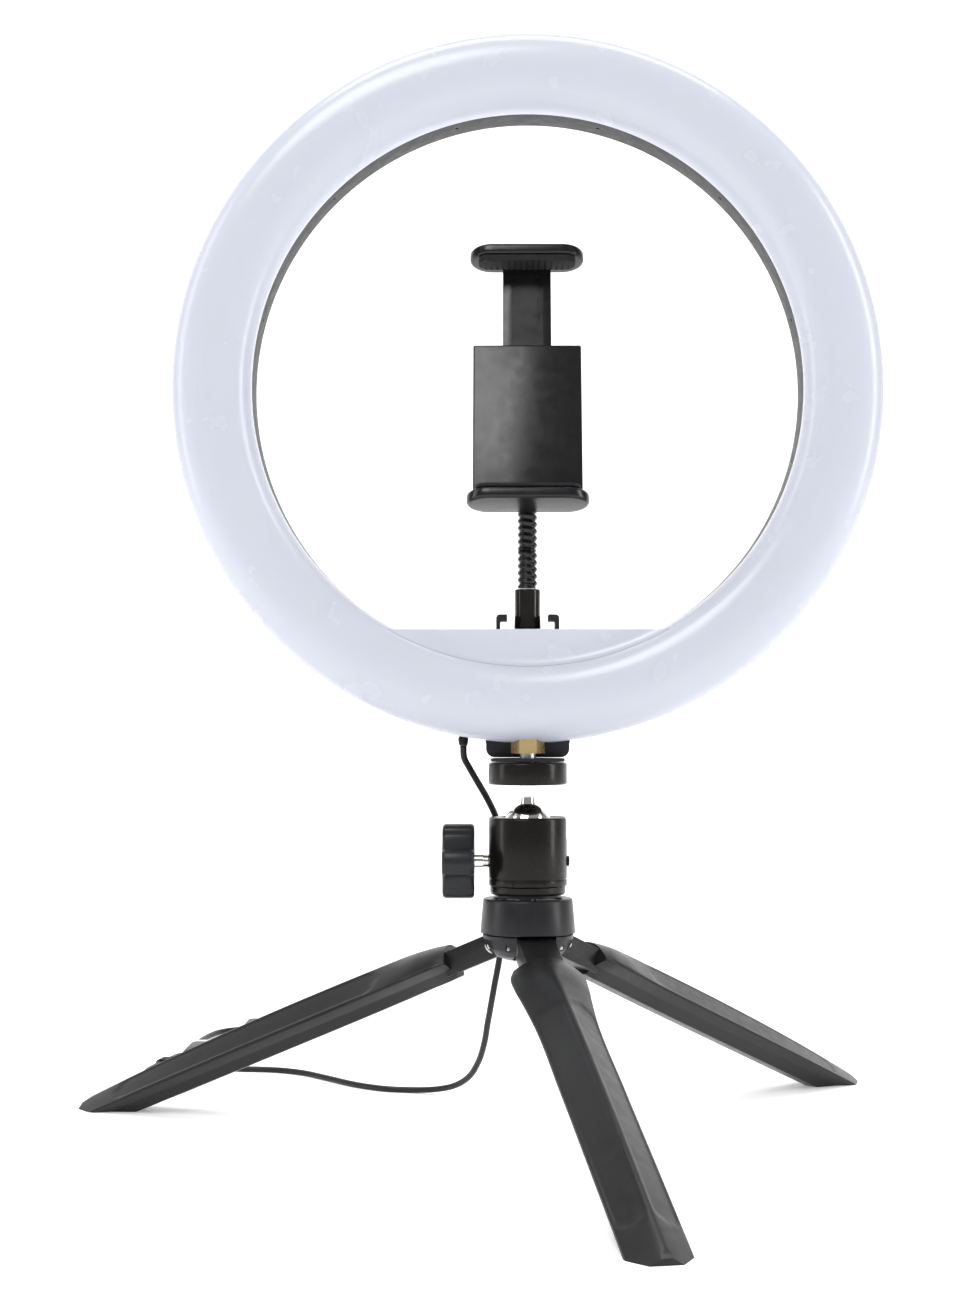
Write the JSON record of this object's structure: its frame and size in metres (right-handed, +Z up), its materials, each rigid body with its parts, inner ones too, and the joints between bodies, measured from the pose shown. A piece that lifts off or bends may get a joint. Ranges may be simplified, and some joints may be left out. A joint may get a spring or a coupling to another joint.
{
  "type": "ring light",
  "caption": "Round milky ring lamp on a ball head and folding mini tripod, with a phone clamp on a short gooseneck and a USB lead with an in-line controller.",
  "frame": {"origin": "middle of the tripod's footprint on the table, measured without the lead", "axes": "+Z up, the lamp faces -Y, +X to the viewer's right"},
  "size_m": [0.3125, 0.4305, 0.4025],
  "materials": {
    "milky_plastic": "glossy milky white, slightly blue",
    "shell_plastic": "fine satin",
    "hub_plastic": "satin",
    "leg_plastic": "satin with fine grain",
    "clamp_plastic": "satin gloss",
    "knob_plastic": "satin",
    "anodised_metal": "black satin coating",
    "gloss_black": "gloss",
    "white_plastic": "satin",
    "led_board": "white solder mask",
    "green_board": "satin",
    "rubber": "matt",
    "cord_jacket": "satin",
    "chrome": "polished",
    "steel": "plated",
    "brass": "machined"
  },
  "bodies": {
    "hub": {"hub_collar": "hub_plastic", "hub_core": "hub_plastic", "stud_nut": "steel", "hub_stud": "steel", "leg_pin_front": "steel", "leg_pin_right": "steel", "leg_pin_left": "steel", "cord_drop": "cord_jacket", "cord_floor": "cord_jacket", "cord_loop": "cord_jacket", "cord_lead": "cord_jacket", "cord_hank": "cord_jacket", "usb_overmould": "cord_jacket", "usb_shell": "steel", "control_shell": "shell_plastic", "control_cover": "shell_plastic", "control_board": "green_board"},
    "leg_front": {"leg_front": "leg_plastic"},
    "leg_right": {"leg_right": "leg_plastic"},
    "leg_left": {"leg_left": "leg_plastic"},
    "head": {"base_plug": "anodised_metal", "ball_housing": "anodised_metal", "brake_cup": "white_plastic", "brake_plunger": "steel", "set_screw": "steel"},
    "knob": {"lock_screw": "chrome", "lock_knob": "knob_plastic"},
    "ball": {"ball": "chrome"},
    "platform": {"ball_stem": "chrome", "platform_disc": "anodised_metal", "platform_pad": "rubber", "platform_screw": "steel"},
    "ring": {"front_diffuser": "milky_plastic", "rear_shell": "shell_plastic", "led_board": "led_board", "tripod_nut": "brass", "cold_shoe": "shell_plastic", "cord_grommet": "rubber", "shell_screw_1": "steel", "shell_screw_2": "steel", "shell_screw_3": "steel", "shell_screw_4": "steel", "shell_screw_5": "steel", "shell_screw_6": "steel"},
    "shoe": {"shoe_foot": "anodised_metal", "lower_ferrule": "gloss_black", "gooseneck_lower": "gloss_black"},
    "neck": {"gooseneck_upper": "gloss_black"},
    "neck_top": {"upper_ferrule": "gloss_black", "holder_screw": "steel"},
    "clamp": {"holder_body": "clamp_plastic", "holder_cover": "clamp_plastic", "lower_pad": "rubber", "clamp_spring_left": "steel", "clamp_spring_right": "steel"},
    "jaw": {"slide_jaw": "clamp_plastic", "upper_pad": "rubber"},
    "button_dimmer": {"button_dimmer": "rubber"},
    "button_power": {"button_power": "rubber"},
    "button_brighter": {"button_brighter": "rubber"}
  },
  "joints": [
    {"name": "leg_front_fold", "type": "hinge", "parent": "hub", "child": "leg_front", "pos_m": [0.01959, 0.01672, 0.0695], "axis": [0.9799, 0.1994, 0], "range_deg": [0, 66]},
    {"name": "leg_right_fold", "type": "hinge", "parent": "hub", "child": "leg_right", "pos_m": [0.02564, 0.03479, 0.0695], "axis": [-0.6626, 0.749, 0], "range_deg": [0, 66]},
    {"name": "leg_left_fold", "type": "hinge", "parent": "hub", "child": "leg_left", "pos_m": [0.00697, 0.03099, 0.0695], "axis": [-0.3173, -0.9483, 0], "range_deg": [0, 66]},
    {"name": "head_turn", "type": "hinge", "parent": "hub", "child": "head", "pos_m": [0.0174, 0.0275, 0.0887], "axis": [0, 0, 1], "continuous": true, "deforming": ["cord_drop"]},
    {"name": "knob_turn", "type": "hinge", "parent": "head", "child": "knob", "pos_m": [-0.0026, 0.0275, 0.0996], "axis": [-1, 0, 0], "range_deg": [0, 360]},
    {"name": "ball_lean", "type": "hinge", "parent": "head", "child": "ball", "pos_m": [0.0174, 0.0275, 0.1118], "axis": [0, 1, 0], "range_deg": [-30, 30], "deforming": ["cord_drop"]},
    {"name": "ball_nod", "type": "hinge", "parent": "ball", "child": "platform", "pos_m": [0.0174, 0.0275, 0.1118], "axis": [1, 0, 0], "range_deg": [-35, 35], "deforming": ["cord_drop"]},
    {"name": "ring_turn", "type": "hinge", "parent": "platform", "child": "ring", "pos_m": [0.0174, 0.0275, 0.137], "axis": [0, 0, 1], "range_deg": [-180, 180], "deforming": ["cord_drop"]},
    {"name": "shoe_slide", "type": "slide", "parent": "ring", "child": "shoe", "axis": [0, 1, 0], "range_m": [0, 0.016]},
    {"name": "neck_nod", "type": "hinge", "parent": "shoe", "child": "neck", "pos_m": [0.0174, 0.0335, 0.206], "axis": [1, 0, 0], "range_deg": [-35, 35], "deforming": ["gooseneck_lower", "gooseneck_upper"]},
    {"name": "neck_lean", "type": "hinge", "parent": "neck", "child": "neck_top", "pos_m": [0.0174, 0.0345, 0.221], "axis": [0, 1, 0], "range_deg": [-25, 25], "deforming": ["gooseneck_upper"]},
    {"name": "holder_swivel", "type": "hinge", "parent": "neck_top", "child": "clamp", "pos_m": [0.0174, 0.03794, 0.24501], "axis": [0, 0.2588, 0.9659], "continuous": true},
    {"name": "jaw_slide", "type": "slide", "parent": "clamp", "child": "jaw", "axis": [0, 0.2588, 0.9659], "range_m": [-0.03, 0], "deforming": ["clamp_spring_left", "clamp_spring_right"]},
    {"name": "button_dimmer_press", "type": "slide", "parent": "hub", "child": "button_dimmer", "axis": [0, 0, -1], "range_m": [0, 0.0006], "stiffness_N_per_m": 400, "springref_m": -0.0004},
    {"name": "button_power_press", "type": "slide", "parent": "hub", "child": "button_power", "axis": [0, 0, -1], "range_m": [0, 0.0006], "stiffness_N_per_m": 400, "springref_m": -0.0004},
    {"name": "button_brighter_press", "type": "slide", "parent": "hub", "child": "button_brighter", "axis": [0, 0, -1], "range_m": [0, 0.0006], "stiffness_N_per_m": 400, "springref_m": -0.0004}
  ]
}
